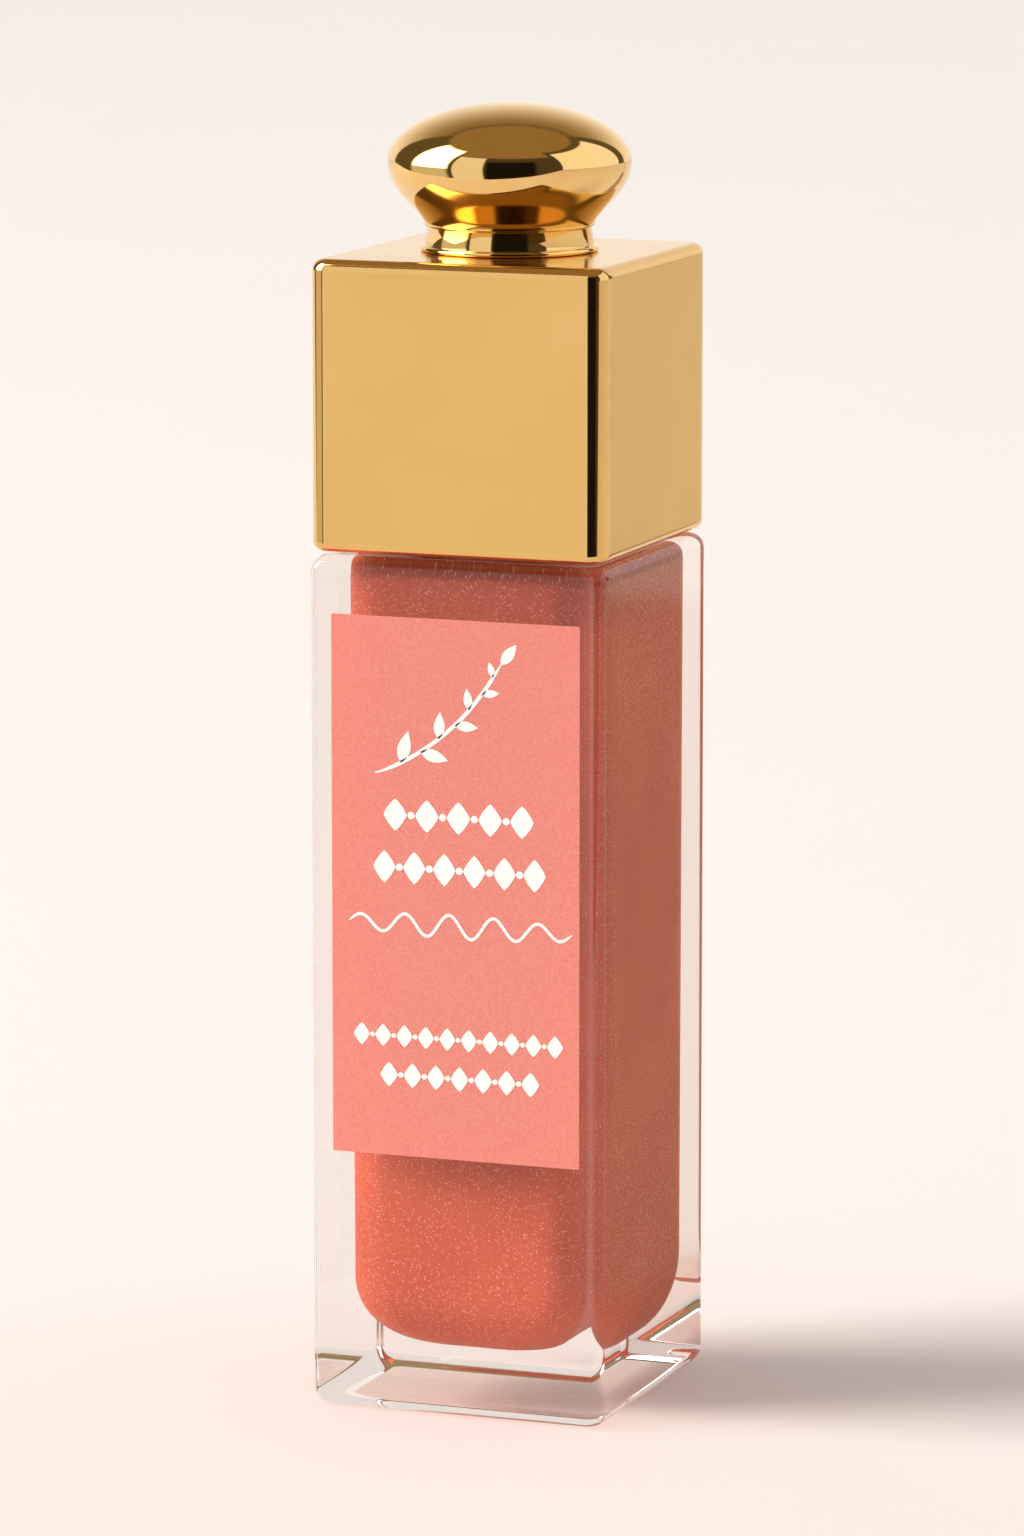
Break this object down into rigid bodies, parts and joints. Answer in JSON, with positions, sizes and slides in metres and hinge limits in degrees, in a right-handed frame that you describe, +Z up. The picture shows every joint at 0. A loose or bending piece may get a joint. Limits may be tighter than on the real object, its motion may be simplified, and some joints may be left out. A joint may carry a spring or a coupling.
{
  "type": "lip gloss tube",
  "caption": "Square glass lip gloss tube with a threaded neck and wiper, closed by a square gold screw cap with a mushroom knob and a doe-foot applicator wand.",
  "frame": {"origin": "centre of the bottle's flat base, on the surface that it stands on", "axes": "+Z up along the neck, the thread and the wand; the label faces -Y; +X to the right when facing the label"},
  "size_m": [0.02, 0.0201, 0.0842],
  "materials": {
    "clear_glass": "clear, polished",
    "wiper_polyethylene": "natural, slightly milky",
    "coral_gloss": "wet coral gloss with a fine pearl shimmer",
    "label_film": null,
    "washer_foam": "soft, closed cell",
    "gold_shell": "satin gold with polished edges",
    "gold_knob": "mirror polished gold",
    "zinc_steel": "zinc plated",
    "inner_plastic": "moulded, satin",
    "stem_plastic": "moulded, wet with gloss",
    "tip_flocking": "short flocked fibres soaked in gloss"
  },
  "bodies": {
    "bottle_body": {"bottle": "clear_glass", "wiper": "wiper_polyethylene", "gloss_fill": "coral_gloss", "label": "label_film"},
    "film_body": {"gloss_film": "coral_gloss"},
    "washer_body": {"seal_washer": "washer_foam"},
    "cap_body": {"cap_shell": "gold_shell", "knob_collar": "gold_knob", "knob": "gold_knob", "knob_screw": "zinc_steel", "cap_weight": "zinc_steel", "inner_cap": "inner_plastic", "wand_stem": "stem_plastic", "tip_core": "stem_plastic", "tip_flock": "tip_flocking"}
  },
  "joints": [
    {"name": "pull_out", "type": "slide", "parent": "bottle_body", "child": "film_body", "axis": [0, 0, 1], "range_m": [0, 0.062]},
    {"name": "thread_rise", "type": "slide", "parent": "film_body", "child": "washer_body", "axis": [0, 0, 1], "range_m": [0, 0.0025]},
    {"name": "cap_turn", "type": "hinge", "parent": "washer_body", "child": "cap_body", "pos_m": [0, 0, 0], "axis": [0, 0, 1], "range_deg": [0, 450]}
  ],
  "couplings": [
    {"joint": "thread_rise", "follows": "cap_turn", "m_per_rad": 0.0003183}
  ]
}
